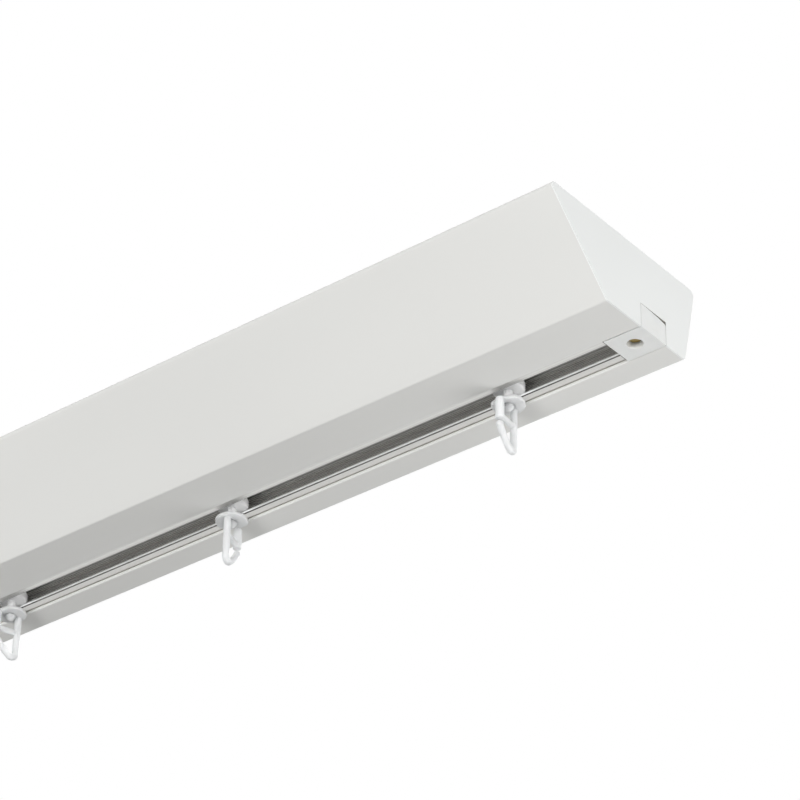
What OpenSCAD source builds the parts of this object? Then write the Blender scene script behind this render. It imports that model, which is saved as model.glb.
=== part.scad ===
// Ceiling curtain track: a slant-fronted white cornice board with a grooved-in
// C rail, an end plug at each end and a row of gliders with swivelling hooks.
// Millimetres. X runs along the track, +Y points to the wall, +Z up.
// The origin is on the ceiling face, above the middle of the running slot.

/* [Track] */
// Length of the whole track, from end face to end face
track_length = 1000; // [850:10:1400]
// Number of gliders on the track
glider_count = 8; // [4:1:10]
// Distance of the first glider from the right end face
first_glider = 54; // [40:1:70]
// Distance of the last glider from the left end face
last_glider = 150; // [100:1:180]
// How far each glider rests off an even spacing
glider_stray = [0, -2, -16.5, -6, 4, -5, 7, 0]; // [-20:0.5:20]
// Turn of each hook about its stem, from +X to its long leg
hook_turn = [96, 287, 76, 118, 262, 84, 305, 65]; // [0:1:360]

/* [Cornice board] */
// Height of the board, from its underside to the ceiling
board_height = 28; // [24:0.5:36]
// Width of the underside in front of the groove
front_lip = 16.8; // [12:0.2:24]
// Width of the underside behind the groove
back_lip = 9.7; // [7:0.1:16]
// How far the ceiling face reaches out past the front of the underside
front_overhang = 28; // [12:0.5:40]
// How far the ceiling face reaches back past the back of the underside
back_overhang = 6.3; // [2:0.1:12]
// Radius of the long front and bottom edges
edge_radius = 1.2; // [0.6:0.1:1.8]
// Radius of the long edge where the back meets the ceiling
back_radius = 2; // [1:0.1:3]
// Thickness of the edge band glued on each sawn end
band_thickness = 0.5; // [0.3:0.1:1]

/* [Groove] */
// Width of the groove for the rail
groove_width = 12.8; // [12.4:0.1:16]
// Depth of the groove
groove_depth = 8.4; // [7.8:0.1:10]
// Bevel along both edges of the groove's mouth
groove_bevel = 0.3; // [0.2:0.05:0.5]

/* [Rail] */
// Gap between the rail and each side of the groove
rail_fit = 0.2; // [0.1:0.05:0.4]
// Height of the rail
rail_height = 7.45; // [7:0.05:7.8]
// Thickness of the rail's two side walls
rail_wall = 0.8; // [0.7:0.05:1]
// Thickness of the rail's web, against the groove's ceiling
rail_web = 1; // [0.8:0.05:1.2]
// Thickness of the two flanges that the gliders run on
flange_thickness = 0.95; // [0.8:0.05:1.2]
// Width of the running slot between the flanges
slot_width = 6.6; // [5.6:0.1:7.4]
// Bevel along the lower edges of the slot
slot_bevel = 0.25; // [0.1:0.05:0.4]
// Radius of the rail's two lower outer edges
rail_radius = 0.25; // [0.15:0.05:0.4]
// Radius in the two corners between the web and the side walls
channel_radius = 0.4; // [0.2:0.05:0.6]
// Gap between each end of the rail and its end plug
rail_end_gap = 0.3; // [0.2:0.05:0.8]

/* [Ceiling fixing] */
// Distance of each fixing hole from its end face
fixing_from_end = 272; // [200:1:330]
// Diameter of the fixing holes for the ceiling screws
fixing_hole = 4.5; // [4:0.1:5.5]
// Diameter of the access holes drilled up through the flanges
access_hole = 8.5; // [7.6:0.1:9]

/* [End plug] */
// Length of an end plug along the track
plug_length = 13.7; // [10:0.1:20]
// Gap between a plug and each side of the groove
plug_fit = 0.1; // [0.05:0.05:0.2]
// How far the plug's curved top falls from its front to its back
plug_fall = 1; // [0.4:0.1:1.6]
// Bevel at the top of the plug's back
plug_bevel = 0.5; // [0.3:0.1:0.9]
// Diameter of the hole that the screw head sinks into
plug_counterbore = 5.2; // [5:0.1:6.4]
// Depth of that hole, up to the screw head's seat
plug_seat = 3.4; // [3:0.1:6]

/* [Plug screw] */
// Diameter of the screw's shank
screw_shank = 2.5; // [2:0.1:2.8]
// Length of the shank under the head
screw_length = 16; // [12:0.5:20]
// Diameter of the pan head
screw_head = 4.6; // [4.2:0.1:4.8]
// Height of the pan head
screw_head_height = 1.7; // [1.4:0.1:2.2]
// Diameter of the hole drilled in the board for the shank
screw_pilot = 2; // [1.6:0.1:2.4]
// Gap between the shank and the plug around it
screw_fit = 0.2; // [0.1:0.05:0.3]

/* [Glider runner] */
// Gap between the runner's head and each side wall of the rail
head_fit = 0.2; // [0.15:0.05:0.4]
// Height of the runner's round head
head_height = 3.4; // [2.6:0.1:4]
// Radius of the head's rims
head_radius = 0.8; // [0.4:0.1:1.2]
// Gap between the head and the flanges under it
head_lift = 0.1; // [0.05:0.05:0.2]
// Diameter of the stem
stem_diameter = 2.8; // [2.4:0.1:3.4]
// Diameter of the shoulder that the stem flares into above the hook
shoulder_diameter = 4.4; // [4:0.1:5]
// Height of that flare
shoulder_height = 0.8; // [0.5:0.1:1]
// Diameter of the snap head under the hook's collar
snap_diameter = 3.7; // [3.6:0.05:3.9]
// Height of the snap head, down to its blunt point
snap_height = 2; // [1.6:0.1:2.4]

/* [Hook] */
// Drop from the board's underside to the top of the hook's collar
collar_drop = 1.9; // [1.5:0.1:3]
// Diameter of the collar
collar_diameter = 10.6; // [10.4:0.1:12]
// Thickness of the collar
collar_thickness = 1.2; // [1:0.1:1.6]
// Radius of the collar's rims
collar_radius = 0.3; // [0.2:0.05:0.45]
// Distance of the collar's two flats from the stem's axis
collar_flat = 4.4; // [4.2:0.1:4.8]
// Turn of those flats to either side of the post
flat_turn = 19; // [12:1:26]
// Gap around the stem in the collar's bore
swivel_fit = 0.06; // [0.03:0.01:0.1]
// Gap between the collar and the shoulder above it and the snap head below it
swivel_play = 0.1; // [0.05:0.05:0.2]
// Thickness of the hook's leg and bend
hook_wire = 2.3; // [2:0.05:2.4]
// Thickness of the short post
post_wire = 2.8; // [2.5:0.05:3]
// Thickness of the arm that runs up from the bend
arm_wire = 2.15; // [1.8:0.05:2.15]
// Thickness of the bar across the hook
bar_wire = 2; // [1.6:0.05:2]
// Distance of the long leg from the stem's axis
leg_offset = 3.1; // [3.05:0.05:3.4]
// Distance of the short post from the stem's axis
post_offset = 4.95; // [4.6:0.05:5.2]
// How far the post reaches up into the collar
post_rise = 0.5; // [0.3:0.1:0.8]
// Radius of the post's shoulder beside the collar
post_shoulder = 0.9; // [0.5:0.1:1.2]
// Drop from the collar's underside to the cross bar
bar_drop = 6; // [5.5:0.1:6.5]
// Drop from the collar's underside to the middle of the bend
bend_drop = 13.7; // [13:0.1:16]
// Radius of the bend along the middle of the wire
bend_radius = 1.6; // [1.5:0.05:1.8]
// Lean of the arm away from upright where it leaves the bend
arm_lean = 55; // [50:1:58]
// Radius of the arm's curve up to its tip
arm_curve = 20; // [17:0.5:30]
// Width of the hook's mouth, between the arm's tip and the post
mouth_gap = 0.8; // [0.6:0.1:1.4]

/* [Hidden] */
$fn = 64;
eps = 0.01;

glider_numbers = [for (i = [1:glider_count]) i];

foil_white = [0.88, 0.88, 0.86];
raw_aluminium = [0.72, 0.73, 0.74];
plug_white = [0.89, 0.90, 0.89];
glider_white = [0.93, 0.94, 0.95];
screw_yellow = [0.66, 0.55, 0.28];

// Heights, counted down from the ceiling
underside = -board_height;
groove_top = underside + groove_depth;
rail_foot = groove_top - rail_height;
flange_top = rail_foot + flange_thickness;
head_foot = flange_top + head_lift;
collar_top = underside - collar_drop;
collar_foot = collar_top - collar_thickness;

// Widths, counted from the middle of the slot
rail_width = groove_width - 2 * rail_fit;
inner_width = rail_width - 2 * rail_wall;
head_diameter = inner_width - 2 * head_fit;
plug_width = groove_width - 2 * plug_fit;
front_foot = -groove_width / 2 - front_lip;
back_foot = groove_width / 2 + back_lip;

// Lengths along the track
half_length = track_length / 2;
rail_length = track_length - 2 * (plug_length + rail_end_gap);
glider_pitch = (track_length - first_glider - last_glider) / (glider_count - 1);

function pick(list, i) = list[(i - 1) % len(list)];
function glider_x(i) =
  half_length - first_glider - (i - 1) * glider_pitch - pick(glider_stray, i);

// Corners of the board's section as [y, z, radius], in order around it
board_corners = [
  [front_foot, underside, edge_radius],
  [back_foot, underside, edge_radius],
  [back_foot + back_overhang, 0, back_radius],
  [front_foot - front_overhang, 0, edge_radius]
];

// Corners of the rail's channel, in the same form
channel_corners = [
  [-inner_width / 2, flange_top, 0],
  [inner_width / 2, flange_top, 0],
  [inner_width / 2, groove_top - rail_web, channel_radius],
  [-inner_width / 2, groove_top - rail_web, channel_radius]
];

function unit(v) = v / norm(v);
function corner(list, i) = let (c = list[(i + len(list)) % len(list)]) [c[0], c[1]];

// Direction from a corner to the next one, or with step -1 to the one before
function side(list, i, step) = unit(corner(list, i + step) - corner(list, i));

// Half the angle inside a corner
function half_angle(list, i) = acos(side(list, i, 1) * side(list, i, -1)) / 2;

// The points of a corner's rounding, from its side before to its side after
function rounded_corner(list, i, steps = 8) =
  let (
    r = list[i][2],
    half = half_angle(list, i),
    inward = unit(side(list, i, 1) + side(list, i, -1)),
    middle = corner(list, i) + inward * r / sin(half),
    from = atan2(-inward[1], -inward[0]) - (90 - half),
    sweep = 2 * (90 - half)
  )
  [for (k = [0:steps])
    middle + r * [cos(from + sweep * k / steps), sin(from + sweep * k / steps)]];

// Turns a section drawn as [y, z] so that its length runs along X, centred
module along_track(length) {
  rotate([90, 0, 90]) translate([0, 0, -length / 2]) linear_extrude(length) children();
}

module board_outline() {
  polygon([for (i = [0:len(board_corners) - 1]) each rounded_corner(board_corners, i)]);
}

module groove_outline() {
  translate([-groove_width / 2, underside - 1]) square([groove_width, groove_depth + 1]);
}

// The groove with the bevel at its mouth
module bevelled_groove_outline() {
  groove_outline();
  mouth = groove_width / 2 + groove_bevel;
  polygon([
    [-mouth, underside - eps], [mouth, underside - eps], [mouth, underside],
    [groove_width / 2, underside + groove_bevel],
    [-groove_width / 2, underside + groove_bevel], [-mouth, underside]
  ]);
}

// One copy at each fixing hole
module at_fixings() {
  for (side = [-1, 1]) translate([side * (half_length - fixing_from_end), 0, 0]) children();
}

// One copy at each end, the left one mirrored
module at_end(side) {
  mirror([side < 0 ? 1 : 0, 0, 0]) translate([half_length, 0, 0]) children();
}

module cornice_board() {
  color(foil_white) difference() {
    along_track(track_length - 2 * band_thickness) difference() {
      board_outline();
      bevelled_groove_outline();
    }
    at_fixings() translate([0, 0, groove_top - 1])
      cylinder(d = fixing_hole, h = 2 - groove_top);
    for (side = [-1, 1]) at_end(side) translate([-plug_length / 2, 0, groove_top - 1])
      cylinder(d = screw_pilot, h = 1 + screw_tip() - groove_top + screw_pilot);
  }
}

// A thin slice of the board's outline, open where the plug goes in
module edge_band(side) {
  color(foil_white) at_end(side) translate([-band_thickness / 2, 0, 0])
    along_track(band_thickness) difference() {
      board_outline();
      groove_outline();
    }
}

module rail_outline() {
  half = rail_width / 2;
  difference() {
    union() {
      translate([-half, rail_foot + rail_radius])
        square([rail_width, rail_height - rail_radius]);
      translate([-half + rail_radius, rail_foot])
        square([rail_width - 2 * rail_radius, rail_radius + eps]);
      for (side = [-1, 1])
        translate([side * (half - rail_radius), rail_foot + rail_radius])
          circle(r = rail_radius);
    }
    polygon(concat(
      [[-inner_width / 2, flange_top], [inner_width / 2, flange_top]],
      rounded_corner(channel_corners, 2, 4), rounded_corner(channel_corners, 3, 4)
    ));
    translate([-slot_width / 2, rail_foot - 1])
      square([slot_width, flange_thickness + 1 + eps]);
    polygon([
      [-slot_width / 2 - slot_bevel, rail_foot], [-slot_width / 2 - slot_bevel, rail_foot - 1],
      [slot_width / 2 + slot_bevel, rail_foot - 1], [slot_width / 2 + slot_bevel, rail_foot],
      [slot_width / 2, rail_foot + slot_bevel], [-slot_width / 2, rail_foot + slot_bevel]
    ]);
  }
}

module running_rail() {
  color(raw_aluminium) difference() {
    along_track(rail_length) rail_outline();
    at_fixings() {
      translate([0, 0, rail_foot - 1]) cylinder(d = access_hole, h = 1 + flange_thickness + 1);
      translate([0, 0, groove_top - rail_web - 1]) cylinder(d = fixing_hole, h = rail_web + 2);
    }
  }
}

// The plug seen from its end: its top curves down towards the back
module plug_outline() {
  foot = underside;
  top = groove_top - plug_fit;
  half = plug_width / 2;
  curve = (plug_width * plug_width + plug_fall * plug_fall) / (2 * plug_fall);
  intersection() {
    polygon([
      [-half, foot], [half, foot], [half, top - plug_fall - plug_bevel],
      [half - plug_bevel, top - plug_fall + plug_bevel], [half - plug_bevel, top], [-half, top]
    ]);
    translate([-half, top - curve]) circle(r = curve, $fn = 360);
  }
}

module end_plug(side) {
  color(plug_white) at_end(side) difference() {
    translate([-plug_length / 2, 0, 0]) along_track(plug_length) plug_outline();
    translate([-plug_length / 2, 0, underside - 1]) {
      cylinder(d = plug_counterbore, h = 1 + plug_seat);
      cylinder(d = screw_shank + 2 * screw_fit, h = groove_depth + 2);
    }
  }
}

function screw_seat() = underside + plug_seat;
function screw_tip() = screw_seat() + screw_length;

// A pan-head screw, head down in the plug, pointed end up in the board
module plug_screw(side) {
  point = screw_shank;
  crown = screw_head_height / 3;
  color(screw_yellow) at_end(side) translate([-plug_length / 2, 0, screw_seat()])
    rotate_extrude() polygon([
      [0, -screw_head_height], [screw_head / 2 - crown, -screw_head_height],
      [screw_head / 2, crown - screw_head_height], [screw_head / 2, 0],
      [screw_shank / 2, 0], [screw_shank / 2, screw_length - point], [0, screw_length]
    ]);
}

// Points of one rounded rim as [radius, height], going up: it ends a disc or bar at
// height z, which is its top with way 1 and its foot with way -1
function rim_arc(diameter, z, r, way, steps = 6) =
  [for (k = [0:steps]) let (a = 90 * (way > 0 ? k : steps - k) / steps)
    [diameter / 2 - r + r * cos(a), z + way * (r * sin(a) - r)]];

// Both rims of a disc, from its foot to its top
function rim_points(diameter, foot, height, r) =
  concat(rim_arc(diameter, foot, r, -1), rim_arc(diameter, foot + height, r, 1));

// Round head in the rail, stem through the slot and snap head under the collar
module runner(i) {
  stem = stem_diameter / 2;
  flare_foot = collar_top + swivel_play;
  snap_top = collar_foot - swivel_play;
  color(glider_white) translate([glider_x(i), 0, 0]) rotate_extrude() polygon(concat(
    [
      [0, snap_top - snap_height], [stem * 0.4, snap_top - snap_height],
      [snap_diameter / 2, snap_top - snap_height / 6], [snap_diameter / 2, snap_top],
      [stem, snap_top], [stem, flare_foot], [shoulder_diameter / 2, flare_foot],
      [stem, flare_foot + shoulder_height], [stem, head_foot]
    ],
    rim_points(head_diameter, head_foot, head_height, head_radius),
    [[0, head_foot + head_height]]
  ));
}

// The hook's disc with its two flats, which meet at the post
module collar() {
  bore = stem_diameter / 2 + swivel_fit;
  difference() {
    rotate_extrude() polygon(concat(
      [[bore, collar_thickness], [bore, 0]],
      rim_points(collar_diameter, 0, collar_thickness, collar_radius)
    ));
    for (side = [-1, 1]) rotate([0, 0, 180 + side * flat_turn])
      translate([collar_flat, -collar_diameter, -1])
        cube([collar_diameter, 2 * collar_diameter, collar_thickness + 2]);
  }
}

// One flat hook in the XZ plane, hung from z = 0 at the collar's underside
module hook_body() {
  root = collar_thickness / 2;
  post_rim = 0.3;
  post_foot = -bar_drop - bar_wire / 2 - post_rim / 2;
  bend_x = leg_offset - bend_radius;
  // where the bend runs into the arm
  arm_x = bend_x - bend_radius * cos(arm_lean);
  arm_z = -bend_drop - bend_radius * sin(arm_lean);
  // the arm's tip, a bead hardly thicker than the arm
  bead = 1.08 * arm_wire;
  tip_z = post_foot - mouth_gap - bead / 2;
  tip_lean = asin(sin(arm_lean) - (tip_z - arm_z) / arm_curve);
  tip_x = arm_x + arm_curve * (cos(arm_lean) - cos(tip_lean));
  // how far the arm's foot is sunk in the end of the bend, as a turn about its own centre
  sunk = arm_wire / 6 / arm_curve * 180 / PI;

  collar();
  // long leg
  translate([leg_offset, 0, -bend_drop]) cylinder(d = hook_wire, h = bend_drop + root);
  // bend, turned from the leg round under to the arm
  translate([bend_x, 0, -bend_drop]) rotate([-90, 0, 0])
    rotate_extrude(angle = 180 - arm_lean) translate([bend_radius, 0]) circle(d = hook_wire);
  // arm, curving up from the end of the bend, and the bead at its tip
  translate([arm_x + arm_curve * cos(arm_lean), 0, arm_z + arm_curve * sin(arm_lean)])
    rotate([-90, 0, 0]) rotate([0, 0, 180 - arm_lean - sunk])
      rotate_extrude(angle = arm_lean - tip_lean + sunk)
        translate([arm_curve, 0]) circle(d = arm_wire);
  translate([tip_x, 0, tip_z]) sphere(d = bead);
  // short post
  translate([-post_offset, 0, 0]) rotate_extrude() polygon(concat(
    [[0, post_foot]],
    rim_arc(post_wire, post_foot, post_rim, -1),
    rim_arc(post_wire, post_rise, post_shoulder, 1),
    [[0, post_rise]]
  ));
  // bar across the hook
  translate([-post_offset, 0, -bar_drop]) rotate([0, 90, 0])
    cylinder(d = bar_wire, h = post_offset + leg_offset);
}

module hook(i) {
  color(glider_white) translate([glider_x(i), 0, collar_foot])
    rotate([0, 0, pick(hook_turn, i)]) hook_body();
}

cornice_board();
edge_band(1);  // edge_band_right
edge_band(-1);  // edge_band_left
running_rail();
end_plug(1);  // end_plug_right
end_plug(-1);  // end_plug_left
plug_screw(1);  // plug_screw_right
plug_screw(-1);  // plug_screw_left
for (i = glider_numbers) {
  runner(i);
  hook(i);
}
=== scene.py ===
"""The curtain track's looks: materials, moulded hooks, detailed screws, lamps, floor and camera.

Everything is in metres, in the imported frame: X along the track, +Y to the wall, +Z up.
"""
import math

import bmesh
import bpy
from mathutils import Matrix, Vector


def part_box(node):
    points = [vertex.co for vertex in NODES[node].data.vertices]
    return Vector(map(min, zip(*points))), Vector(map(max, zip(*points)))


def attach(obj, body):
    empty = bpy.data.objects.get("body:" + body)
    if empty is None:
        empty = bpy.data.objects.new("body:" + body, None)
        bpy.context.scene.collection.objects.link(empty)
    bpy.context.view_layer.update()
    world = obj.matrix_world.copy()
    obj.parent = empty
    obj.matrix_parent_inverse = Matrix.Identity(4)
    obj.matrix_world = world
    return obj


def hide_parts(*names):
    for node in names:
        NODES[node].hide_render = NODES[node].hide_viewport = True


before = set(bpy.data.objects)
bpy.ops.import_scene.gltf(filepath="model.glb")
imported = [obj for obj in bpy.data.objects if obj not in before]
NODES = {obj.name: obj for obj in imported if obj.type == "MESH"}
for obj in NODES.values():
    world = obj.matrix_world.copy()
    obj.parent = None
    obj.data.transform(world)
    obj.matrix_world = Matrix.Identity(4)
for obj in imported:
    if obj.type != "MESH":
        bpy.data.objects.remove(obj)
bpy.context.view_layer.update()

MM = 0.001
GLIDERS = sorted(n for n in NODES if n.startswith("glider_"))

# Sizes repeated from the source of the part, in metres
HALF_LENGTH = 500 * MM
GROOVE_TOP = -19.6 * MM
RAIL_FOOT = -27.05 * MM
FLANGE = 0.95 * MM
FLANGE_TOP = RAIL_FOOT + FLANGE
RAIL_WEB = 1.0 * MM
CHANNEL_TOP = GROOVE_TOP - RAIL_WEB
SLOT = 6.6 * MM
SLOT_BEVEL = 0.25 * MM
GROOVE = 12.8 * MM
PLUG_FACE = HALF_LENGTH - 13.7 * MM
RAIL_END = PLUG_FACE - 0.3 * MM
COLLAR_FOOT = -31.1 * MM
HEAD = 4.6 * MM
HEAD_HEIGHT = 1.7 * MM
THREAD_PITCH = 1.15 * MM
FIXING_X = 228 * MM
FIXING_HOLE = 4.5 * MM

TURN = 2 * math.pi
# The hooks' remeshing grid, and how often their edges are smoothed into fillets
HOOK_VOXEL = 0.13 * MM
FILLET_PASSES = 4
# The plug screws' cross recess and the height of their thread
RECESS_DEPTH = 0.95 * MM
THREAD_RIDGE = 0.36 * MM


# ---------------------------------------------------------------- node helpers

class Material:
    """A node material with one Principled shader and short ways to add nodes."""

    def __init__(self, name):
        self.material = bpy.data.materials.new(name)
        self.material.use_nodes = True
        self.tree = self.material.node_tree
        self.tree.nodes.clear()
        self.shader = self.add("ShaderNodeBsdfPrincipled")
        output = self.add("ShaderNodeOutputMaterial")
        self.link(self.shader.outputs["BSDF"], output.inputs["Surface"])
        self.place = self.add("ShaderNodeTexCoord").outputs["Object"]

    def add(self, kind, **settings):
        node = self.tree.nodes.new(kind)
        for key, value in settings.items():
            setattr(node, key, value)
        return node

    def link(self, out_socket, in_socket):
        self.tree.links.new(out_socket, in_socket)

    def set(self, **values):
        """Constants on the shader's own sockets, spaces written as underscores."""
        for key, value in values.items():
            self.shader.inputs[key.replace("_", " ")].default_value = value

    def feed(self, node, index, value):
        """Links an output, or writes a constant."""
        if isinstance(value, bpy.types.NodeSocket):
            self.link(value, node.inputs[index])
        else:
            node.inputs[index].default_value = value

    def math(self, operation, a, b=0.0, clamp=False):
        node = self.add("ShaderNodeMath", operation=operation, use_clamp=clamp)
        self.feed(node, 0, a)
        self.feed(node, 1, b)
        return node.outputs[0]

    def axes(self):
        """X, Y and Z of the place on the piece, in metres."""
        node = self.add("ShaderNodeSeparateXYZ")
        self.link(self.place, node.inputs[0])
        return node.outputs[0], node.outputs[1], node.outputs[2]

    def stretched(self, scale):
        node = self.add("ShaderNodeMapping")
        self.link(self.place, node.inputs["Vector"])
        node.inputs["Scale"].default_value = scale
        return node.outputs[0]

    def noise(self, scale, detail=3.0, roughness=0.5, stretch=(1, 1, 1)):
        node = self.add("ShaderNodeTexNoise")
        self.link(self.stretched(stretch), node.inputs["Vector"])
        node.inputs["Scale"].default_value = scale
        node.inputs["Detail"].default_value = detail
        node.inputs["Roughness"].default_value = roughness
        return node.outputs["Fac"]

    def ramp(self, value, low, high, to_low=0.0, to_high=1.0, smooth=True):
        node = self.add("ShaderNodeMapRange")
        node.interpolation_type = "SMOOTHSTEP" if smooth else "LINEAR"
        self.feed(node, 0, value)
        for index, number in enumerate((low, high, to_low, to_high), start=1):
            node.inputs[index].default_value = number
        return node.outputs[0]

    def mix(self, factor, a, b):
        node = self.add("ShaderNodeMix", data_type="RGBA")
        self.feed(node, 0, factor)
        self.feed(node, 6, a if isinstance(a, bpy.types.NodeSocket) else (*a, 1))
        self.feed(node, 7, b if isinstance(b, bpy.types.NodeSocket) else (*b, 1))
        return node.outputs[2]

    def shaded(self, colour, mask, level):
        """The colour, darkened to a level where the mask is 1."""
        grey = self.ramp(mask, 0, 1, 1.0, level, smooth=False)
        node = self.add("ShaderNodeVectorMath", operation="SCALE")
        self.feed(node, 0, colour)
        self.link(grey, node.inputs["Scale"])
        return node.outputs[0]

    def facing(self):
        """How far the surface faces along X, from -1 to 1."""
        node = self.add("ShaderNodeSeparateXYZ")
        self.link(self.add("ShaderNodeTexCoord").outputs["Normal"], node.inputs[0])
        return node.outputs[0]

    def colour(self, value):
        self.feed(self.shader, "Base Color", value)

    def roughness(self, value):
        self.feed(self.shader, "Roughness", value)

    def bump(self, *layers):
        """Each layer is (height socket, distance in metres, strength)."""
        normal = None
        for height, distance, strength in layers:
            node = self.add("ShaderNodeBump")
            node.inputs["Strength"].default_value = strength
            node.inputs["Distance"].default_value = distance
            self.link(height, node.inputs["Height"])
            if normal is not None:
                self.link(normal, node.inputs["Normal"])
            normal = node.outputs[0]
        self.link(normal, self.shader.inputs["Normal"])


# ------------------------------------------------------------------- materials

# Colours are linear, and a SHADE is a factor on one
RAIL_DARK = (0.60, 0.595, 0.575)
RAIL_LIGHT = (0.70, 0.695, 0.675)
PAINTED_SHADE_DARK = (0.07, 0.068, 0.064)
CHANNEL_DARK = (0.84, 0.83, 0.80)
CHANNEL_LIGHT = (0.96, 0.95, 0.92)
WEB_SHADE = 0.45
EDGE_HIGHLIGHT = (0.96, 0.96, 0.95)
FIBRE_DARK = (0.105, 0.052, 0.026)
FIBRE_LIGHT = (0.235, 0.132, 0.072)
# the groove's grey: partly raw board, partly painted shade for the dark gaps beside rail and
# plugs
GROOVE_DARK = (0.34, 0.32, 0.29)
GROOVE_LIGHT = (0.44, 0.42, 0.385)
RIM_SHADE = 0.55
STRIP_SHADE = 0.90
FOIL_TURN_IN_AND_SHADE_LINE = 0.15 * MM
PLUG_GAP_SHADOW_LENGTH = 0.75 * MM


def foil_material(name, tint):
    """White foil wrapped round fibreboard: satin, a faint grain and faint cloudiness, with
    painted shade in the groove and on the band's small bevels.
    """
    m = Material(name)
    cloud = m.noise(14, 2, stretch=(0.35, 1, 1))
    grain = m.noise(2600, 2, 0.6)
    foil = m.mix(m.ramp(cloud, 0.35, 0.65), tuple(c * 0.965 for c in tint), tint)
    x, y, z = m.axes()
    # raw fibreboard shows in the drilled holes, and in the groove as a grey that is partly raw
    # board and partly painted shade for the dark gap lines
    fibre = m.ramp(m.noise(900, 5, 0.7), 0.3, 0.7)
    board = m.mix(fibre, FIBRE_DARK, FIBRE_LIGHT)
    bare_board_and_shade = m.mix(fibre, GROOVE_DARK, GROOVE_LIGHT)
    reach = m.math("ABSOLUTE", x)
    side = m.math("SUBTRACT", reach, FIXING_X)
    away = m.math("SQRT", m.math("ADD", m.math("MULTIPLY", side, side), m.math("MULTIPLY", y, y)))
    hole = m.ramp(away, FIXING_HOLE / 2 + 0.05 * MM, FIXING_HOLE / 2 + 0.12 * MM, 1.0, 0.0)
    # the foil turns only a little way into the groove, and not at all beside a plug; the grey
    # there is partly raw board and partly painted shade
    across = m.math("SUBTRACT", m.math("ABSOLUTE", y), GROOVE / 2)
    inside = m.math("MULTIPLY", m.ramp(across, 0.01 * MM, 0.03 * MM, 1.0, 0.0),
                    m.ramp(z, GROOVE_TOP + 0.01 * MM, GROOVE_TOP + 0.03 * MM, 1.0, 0.0))
    foil_end_shade_start = RAIL_FOOT - FOIL_TURN_IN_AND_SHADE_LINE
    bare_and_shaded = m.math("MAXIMUM", m.ramp(reach, PLUG_FACE, PLUG_FACE + 0.1 * MM),
                  m.ramp(z, foil_end_shade_start, foil_end_shade_start + 0.05 * MM))
    groove = m.math("MULTIPLY", inside, bare_and_shaded)
    # painted shade on the turned-in foil in the groove and on the band's small bevels
    inner = m.shaded(foil, inside, STRIP_SHADE)
    leaning = m.math("ABSOLUTE", m.facing())
    bevel = m.math("MULTIPLY", m.ramp(leaning, 0.15, 0.35), m.ramp(leaning, 0.85, 0.98, 1.0, 0.0))
    skin = m.shaded(inner, bevel, RIM_SHADE)
    m.colour(m.mix(hole, m.mix(groove, skin, bare_board_and_shade), board))
    m.roughness(m.ramp(grain, 0.3, 0.7, 0.36, 0.46))
    m.set(Specular_IOR_Level=0.5)
    waves = m.noise(120, 2, stretch=(0.3, 1, 1))
    m.bump((grain, 0.012 * MM, 0.35), (waves, 0.05 * MM, 0.08))
    return m.material


def rail_material():
    """Plain extruded aluminium: die lines along X, painted highlights on the slot edges and
    painted shade on the bevels, at the plug gaps and in the channel.
    """
    m = Material("rail_aluminium")
    x, y, z = m.axes()
    drawn = m.noise(1500, 2, 0.5, stretch=(0.0004, 1, 1))
    wide = m.noise(260, 2, 0.5, stretch=(0.002, 1, 1))
    skin = m.mix(m.ramp(drawn, 0.3, 0.7), RAIL_DARK, RAIL_LIGHT)
    # painted shade: a dark line on the bevel along each side of the slot, between its edge and
    # the flange's foot
    out = m.math("SUBTRACT", m.math("ABSOLUTE", y), SLOT / 2)
    high = m.math("SUBTRACT", z, RAIL_FOOT)
    bevel = m.math("MULTIPLY", m.ramp(out, 0.01 * MM, 0.03 * MM),
                   m.ramp(high, FLANGE * 0.6, FLANGE * 0.8, 1.0, 0.0))
    bevel = m.math("MULTIPLY", bevel,
                   m.ramp(out, SLOT_BEVEL + 0.04 * MM, SLOT_BEVEL + 0.08 * MM, 1.0, 0.0))
    # painted highlight: the edge of each flange, above its bevel, is painted near white and less
    # metallic
    edge = m.math("MULTIPLY", m.ramp(high, SLOT_BEVEL, SLOT_BEVEL * 1.2),
                  m.ramp(high, FLANGE, FLANGE * 1.05, 1.0, 0.0))
    edge = m.math("MULTIPLY", m.ramp(out, 0.02 * MM, 0.05 * MM, 1.0, 0.0), edge)
    # painted shadow: a dark band at the rail's saw cut, in the gap beside each end plug
    plug_gap_shadow = m.ramp(m.math("ABSOLUTE", x), RAIL_END - PLUG_GAP_SHADOW_LENGTH, RAIL_END - PLUG_GAP_SHADOW_LENGTH + 0.1 * MM)
    shade = m.mix(edge, m.mix(m.math("MAXIMUM", bevel, plug_gap_shadow), skin, PAINTED_SHADE_DARK), EDGE_HIGHLIGHT)
    # the channel above the flanges: a lighter copy of the aluminium as painted light, darkened
    # upwards and most on the web as painted shade
    channel = m.ramp(z, FLANGE_TOP, FLANGE_TOP + 0.2 * MM)
    web = m.ramp(z, CHANNEL_TOP - 0.3 * MM, CHANNEL_TOP)
    depth_shade = m.ramp(z, FLANGE_TOP, CHANNEL_TOP, 0.0, 1.0, smooth=False)
    inside = m.mix(m.ramp(wide, 0.3, 0.7), CHANNEL_DARK, CHANNEL_LIGHT)
    inside = m.shaded(m.shaded(inside, depth_shade, 0.85), web, WEB_SHADE)
    m.colour(m.mix(channel, shade, inside))
    m.roughness(m.math("ADD", m.ramp(channel, 0, 1, 0.36, 0.27),
                       m.ramp(drawn, 0.3, 0.7, -0.03, 0.03)))
    m.feed(m.shader, "Metallic", m.math("MULTIPLY", m.ramp(edge, 0, 1, 0.85, 0.1),
                                        m.ramp(web, 0, 1, 1.0, 0.7)))
    m.bump((drawn, 0.002 * MM, 0.3), (wide, 0.01 * MM, 0.10))
    return m.material


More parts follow.
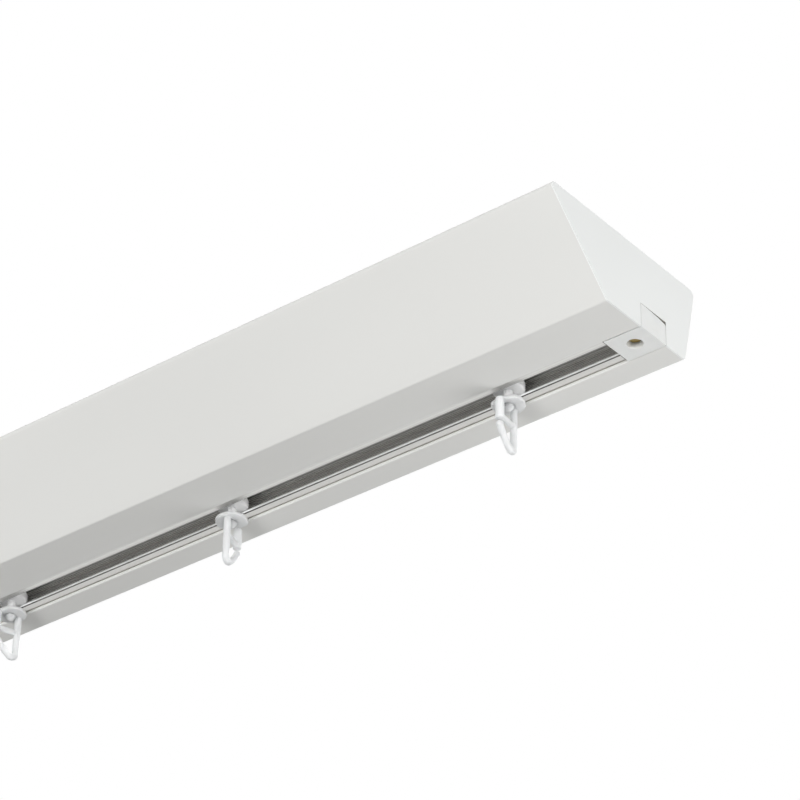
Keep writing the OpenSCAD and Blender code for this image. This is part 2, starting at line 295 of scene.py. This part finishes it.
def plug_material():
    """White moulded plastic with a fine spark-eroded texture."""
    m = Material("plug_plastic")
    fine = m.noise(3200, 2, 0.6)
    cloud = m.noise(180, 2)
    m.colour(m.mix(m.ramp(cloud, 0.35, 0.65), (0.75, 0.76, 0.75), (0.775, 0.785, 0.775)))
    m.roughness(m.ramp(fine, 0.3, 0.7, 0.44, 0.56))
    m.set(Subsurface_Weight=0.12, Subsurface_Scale=0.6 * MM, Subsurface_Radius=(1.0, 0.9, 0.8))
    m.bump((fine, 0.012 * MM, 0.5))
    return m.material


def glider_material():
    """White, slightly translucent moulded plastic, smooth with a faint flow pattern, with painted
    light that whitens it upwards.
    """
    m = Material("glider_plastic")
    flow = m.noise(420, 3, 0.55, stretch=(1, 1, 0.35))
    fine = m.noise(3600, 2)
    # painted light: the head in the channel is painted the whitest, the collar and the thin bars
    # below greyer; the sheen stands for the light that the translucent plastic lets out at its
    # edges
    height = m.axes()[2]
    painted_light_by_height = m.ramp(height, COLLAR_FOOT, RAIL_FOOT)
    bars = m.mix(m.ramp(flow, 0.3, 0.7), (0.73, 0.75, 0.76), (0.77, 0.785, 0.795))
    discs = m.mix(m.ramp(flow, 0.3, 0.7), (0.94, 0.95, 0.955), (0.97, 0.975, 0.98))
    m.colour(m.mix(painted_light_by_height, bars, discs))
    m.roughness(m.ramp(fine, 0.3, 0.7, 0.44, 0.54))
    m.set(Subsurface_Weight=1.0, Subsurface_Scale=6.0 * MM, Subsurface_Radius=(1.0, 1.0, 1.0),
          Specular_IOR_Level=0.15, Transmission_Weight=0.12,
          Sheen_Weight=0.3, Sheen_Roughness=0.5)
    m.bump((flow, 0.03 * MM, 0.12), (fine, 0.006 * MM, 0.3))
    return m.material


def screw_material():
    """Yellow passivated steel with a fine, uneven film."""
    m = Material("screw_steel")
    film = m.noise(700, 3, 0.6)
    fine = m.noise(4200, 2)
    m.colour(m.mix(m.ramp(film, 0.3, 0.7), (0.22, 0.155, 0.045), (0.31, 0.235, 0.085)))
    m.roughness(m.ramp(fine, 0.3, 0.7, 0.28, 0.42))
    m.set(Metallic=0.95)
    m.bump((fine, 0.006 * MM, 0.4))
    return m.material


def dress(node, material):
    """Gives a CAD piece its material."""
    mesh = NODES[node].data
    mesh.materials.clear()
    mesh.materials.append(material)


def lathe(profile, steps):
    """A bmesh turned about Z from [radius, height] points, closed on the axis at both ends."""
    bm = bmesh.new()
    rings = []
    for radius, height in profile:
        if radius == 0:
            rings.append([bm.verts.new((0, 0, height))] * steps)
        else:
            rings.append([bm.verts.new((radius * math.cos(TURN * k / steps),
                                        radius * math.sin(TURN * k / steps), height))
                          for k in range(steps)])
    for low, high in zip(rings, rings[1:]):
        for k in range(steps):
            corners = [low[k], low[(k + 1) % steps], high[(k + 1) % steps], high[k]]
            face = list(dict.fromkeys(corners))
            if len(face) > 2:
                bm.faces.new(face)
    return bm


def mesh_object(name, bm, material, angle=35):
    """A smooth-shaded object made from a bmesh, which is used up."""
    bmesh.ops.recalc_face_normals(bm, faces=bm.faces)
    mesh = bpy.data.meshes.new(name)
    bm.to_mesh(mesh)
    bm.free()
    mesh.materials.append(material)
    mesh.polygons.foreach_set("use_smooth", [True] * len(mesh.polygons))
    mesh.set_sharp_from_angle(angle=math.radians(angle))
    piece = bpy.data.objects.new(name, mesh)
    bpy.context.collection.objects.link(piece)
    return piece


def applied(piece):
    """A new mesh: the piece's own with its modifiers applied."""
    graph = bpy.context.evaluated_depsgraph_get()
    return bpy.data.meshes.new_from_object(piece.evaluated_get(graph))


def mould_hook(node, plastic):
    """The hook as it leaves its mould: the same solid with small fillets where its bars meet."""
    piece = bpy.data.objects.new(node.replace("_hook", "_moulded_hook"), NODES[node].data.copy())
    bpy.context.collection.objects.link(piece)
    weld = piece.modifiers.new("weld", "WELD")
    weld.merge_threshold = 0.002 * MM
    skin = piece.modifiers.new("skin", "REMESH")
    skin.mode = "VOXEL"
    skin.voxel_size = HOOK_VOXEL
    fillets = piece.modifiers.new("fillets", "SMOOTH")
    fillets.factor = 0.5
    fillets.iterations = FILLET_PASSES
    mesh = applied(piece)
    raw = piece.data
    piece.modifiers.clear()
    piece.data = mesh
    bpy.data.meshes.remove(raw)
    mesh.materials.clear()
    mesh.materials.append(plastic)
    mesh.polygons.foreach_set("use_smooth", [True] * len(mesh.polygons))
    number = node.split("_")[1]
    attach(piece, "hook_" + number)
    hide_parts(node)


def cross_cutter(seat):
    """A tapered cross, point up, for the recess in a screw head that faces down."""
    bm = bmesh.new()
    for turn in (0, TURN / 4):
        rings = []
        # height above the head's face, half length and half width of each end
        for height, half, width in ((-0.4 * MM, 1.45 * MM, 0.36 * MM),
                                    (RECESS_DEPTH, 0.6 * MM, 0.2 * MM)):
            ring = []
            for across, along in ((1, 1), (-1, 1), (-1, -1), (1, -1)):
                u, v = half * along, width * across
                ring.append(bm.verts.new((u * math.cos(turn) - v * math.sin(turn),
                                          u * math.sin(turn) + v * math.cos(turn),
                                          seat + height)))
            rings.append(ring)
        bm.faces.new(rings[0])
        bm.faces.new(list(reversed(rings[1])))
        for k in range(4):
            bm.faces.new([rings[0][k], rings[1][k], rings[1][(k + 1) % 4], rings[0][(k + 1) % 4]])
    return bm


def thread_ridge(foot, top, core, pitch, steps=20):
    """A helical ridge wound up the shank, thin at its start and at its point."""
    bm = bmesh.new()
    last = None
    count = int((top - foot) / pitch * steps)
    for k in range(count + 1):
        turn = TURN * k / steps
        height = foot + pitch * k / steps
        grow = min(1.0, k / steps, (count - k) / steps / 1.5)
        root = core * min(1.0, max(0.25, (top - height) / (2.4 * MM)))
        foot_lift = 0.28 * pitch
        ring = [bm.verts.new((radius * math.cos(turn), radius * math.sin(turn), height + lift))
                for radius, lift in ((root * 0.9, -foot_lift), (root + THREAD_RIDGE * grow, 0),
                                     (root * 0.9, foot_lift))]
        if last:
            for a, b in ((0, 1), (1, 2), (2, 0)):
                bm.faces.new([last[a], last[b], ring[b], ring[a]])
        last = ring
    return bm


def add_plug_screw(node, steel):
    """A pan-head screw with a cross recess and a thread, in place of the plain pin."""
    low, high = (Vector(corner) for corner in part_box(node))
    middle = (low + high) / 2
    seat = low.z + HEAD_HEIGHT
    round_edge = 0.75 * MM
    crown = [(0, low.z)] + [
        (HEAD / 2 - round_edge * (1 - math.sin(a)), low.z + round_edge * (1 - math.cos(a)))
        for a in (TURN / 4 * k / 8 for k in range(9))]
    core = 0.9 * MM
    shank = [(HEAD / 2, seat - 0.12 * MM), (HEAD / 2 - 0.12 * MM, seat), (core + 0.25 * MM, seat),
             (core, seat + 0.4 * MM), (core, high.z - 2.2 * MM), (0, high.z)]
    body = mesh_object(node.replace("plug_screw", "cross_screw"), lathe(crown + shank, 64), steel)
    cutter = mesh_object("recess_cutter", cross_cutter(low.z), steel)
    cut = body.modifiers.new("recess", "BOOLEAN")
    cut.operation = "DIFFERENCE"
    cut.solver = "EXACT"
    cut.object = cutter
    shaped = applied(body)
    body.modifiers.clear()
    joined = bmesh.new()
    joined.from_mesh(shaped)
    ridge = thread_ridge(seat + 1.2 * MM, high.z - 0.4 * MM, core, THREAD_PITCH)
    spare = bpy.data.meshes.new("ridge")
    ridge.to_mesh(spare)
    ridge.free()
    joined.from_mesh(spare)
    joined.to_mesh(body.data)
    joined.free()
    body.data.polygons.foreach_set("use_smooth", [True] * len(body.data.polygons))
    body.data.set_sharp_from_angle(angle=math.radians(35))
    for spent in (cutter.data, shaped, spare):
        bpy.data.meshes.remove(spent)
    for corner in body.data.vertices:
        corner.co += Vector((middle.x, middle.y, 0))
    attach(body, "cornice")
    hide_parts(node)


# -------------------------------------------------------------------- dressing

BOARD_TINT = (0.745, 0.745, 0.725)
BAND_TINT = (0.835, 0.85, 0.84)
foil = foil_material("white_foil", BOARD_TINT)
band = foil_material("white_edge_band", BAND_TINT)
dress("cornice_board", foil)
dress("edge_band_right", band)
dress("edge_band_left", band)
dress("running_rail", rail_material())
plug_plastic = plug_material()
dress("end_plug_right", plug_plastic)
dress("end_plug_left", plug_plastic)
glider_plastic = glider_material()
for node in GLIDERS:
    dress(node, glider_plastic)
steel = screw_material()
for node in GLIDERS:
    if node.endswith("_hook"):
        mould_hook(node, glider_plastic)
add_plug_screw("plug_screw_right", steel)
add_plug_screw("plug_screw_left", steel)


# ------------------------------------------------------- camera, lamps, floor

# The photograph's camera, fitted to the track's edges and its hanging hooks
CAMERA_AZIMUTH = math.radians(39.570)
CAMERA_ELEVATION = math.radians(-33.352)
CAMERA_ROLL = math.radians(1.075)
CAMERA_OFFSET = Vector((60.230, 28.993, 962.702)) * MM
CAMERA_LENS = 149.27
# the fit's origin: the bottom front edge of the visible end face
FIT_ORIGIN = Vector((500, -23.2, -28)) * MM


def add_camera():
    """The photograph's camera, from its azimuth, elevation, roll and place."""
    back = Vector((
        math.sin(CAMERA_AZIMUTH) * math.cos(CAMERA_ELEVATION),
        -math.cos(CAMERA_AZIMUTH) * math.cos(CAMERA_ELEVATION),
        math.sin(CAMERA_ELEVATION)))
    level = (-back).cross(Vector((0, 0, 1))).normalized()
    upright = level.cross(-back)
    right = level * math.cos(CAMERA_ROLL) + upright * math.sin(CAMERA_ROLL)
    up = upright * math.cos(CAMERA_ROLL) - level * math.sin(CAMERA_ROLL)
    offset = CAMERA_OFFSET
    place = FIT_ORIGIN - right * offset.x - up * offset.y + back * offset.z
    data = bpy.data.cameras.new("camera")
    data.sensor_width = 36
    data.lens = CAMERA_LENS
    data.clip_start = 0.01
    camera = bpy.data.objects.new("camera", data)
    bpy.context.collection.objects.link(camera)
    turn = Matrix((right, up, back)).transposed().to_4x4()
    camera.matrix_world = Matrix.Translation(place) @ turn
    bpy.context.scene.camera = camera


def white_to_eye(tree, lit):
    """Mixes lit with plain white for camera, glossy and transmission rays."""
    path = tree.nodes.new("ShaderNodeLightPath")
    seen = None
    for ray in ("Is Camera Ray", "Is Glossy Ray", "Is Transmission Ray"):
        if seen is None:
            seen = path.outputs[ray]
            continue
        top = tree.nodes.new("ShaderNodeMath")
        top.operation = "MAXIMUM"
        tree.links.new(seen, top.inputs[0])
        tree.links.new(path.outputs[ray], top.inputs[1])
        seen = top.outputs[0]
    mix = tree.nodes.new("ShaderNodeMixShader")
    tree.links.new(seen, mix.inputs[0])
    tree.links.new(lit, mix.inputs[1])
    return mix


def set_world(level):
    """A plain world at a level, white where it is seen."""
    world = bpy.data.worlds.new("studio")
    bpy.context.scene.world = world
    world.use_nodes = True
    tree = world.node_tree
    tree.nodes.clear()
    output = tree.nodes.new("ShaderNodeOutputWorld")
    dim = tree.nodes.new("ShaderNodeBackground")
    dim.inputs["Color"].default_value = (1, 1, 0.995, 1)
    dim.inputs["Strength"].default_value = level
    white = tree.nodes.new("ShaderNodeBackground")
    white.inputs["Color"].default_value = (1, 1, 1, 1)
    mix = white_to_eye(tree, dim.outputs[0])
    tree.links.new(white.outputs[0], mix.inputs[2])
    tree.links.new(mix.outputs[0], output.inputs[0])


def add_floor(height, size):
    """A pale floor far below, white where it is seen."""
    material = bpy.data.materials.new("studio_floor")
    material.use_nodes = True
    tree = material.node_tree
    tree.nodes.clear()
    output = tree.nodes.new("ShaderNodeOutputMaterial")
    pale = tree.nodes.new("ShaderNodeBsdfDiffuse")
    pale.inputs["Color"].default_value = (0.8, 0.8, 0.79, 1)
    white = tree.nodes.new("ShaderNodeEmission")
    white.inputs["Strength"].default_value = 1.0
    mix = white_to_eye(tree, pale.outputs[0])
    tree.links.new(white.outputs[0], mix.inputs[2])
    tree.links.new(mix.outputs[0], output.inputs[0])
    mesh = bpy.data.meshes.new("studio_floor")
    half = size / 2
    around = ((-half, -half), (half, -half), (half, half), (-half, half))
    corners = [(x, y, height) for x, y in around]
    mesh.from_pydata(corners, [], [(0, 1, 2, 3)])
    mesh.materials.append(material)
    floor = bpy.data.objects.new("studio_floor", mesh)
    bpy.context.collection.objects.link(floor)


def add_lamp(name, place, target, size, power):
    """A round, white area lamp, sizes in metres and power in watts."""
    data = bpy.data.lights.new(name, "AREA")
    data.shape = "DISK"
    data.size = size
    data.energy = power
    lamp = bpy.data.objects.new(name, data)
    bpy.context.collection.objects.link(lamp)
    lamp.location = place
    lamp.visible_camera = False
    aim = Vector(target) - Vector(place)
    lamp.rotation_euler = aim.to_track_quat("-Z", "Y").to_euler()


add_camera()
set_world(0.205)
add_floor(-9.0, 60.0)
add_lamp("front", (0.5, -3.0, -0.8), (0.35, 0, 0), 1.6, 68.5)
add_lamp("end", (2.4, -0.5, -0.2), (0.5, 0, 0), 1.0, 20.0)
add_lamp("near", (0.72, 0.17, -0.36), (0.5, 0, 0), 0.4, 1.30)
add_lamp("back", (-0.6, 2.2, 1.6), (0, 0, 0), 1.6, 75.0)
add_lamp("far_end", (-2.6, -0.4, 0.3), (-0.5, 0, 0), 1.2, 20.0)

view = bpy.context.scene.view_settings
view.view_transform = "Standard"
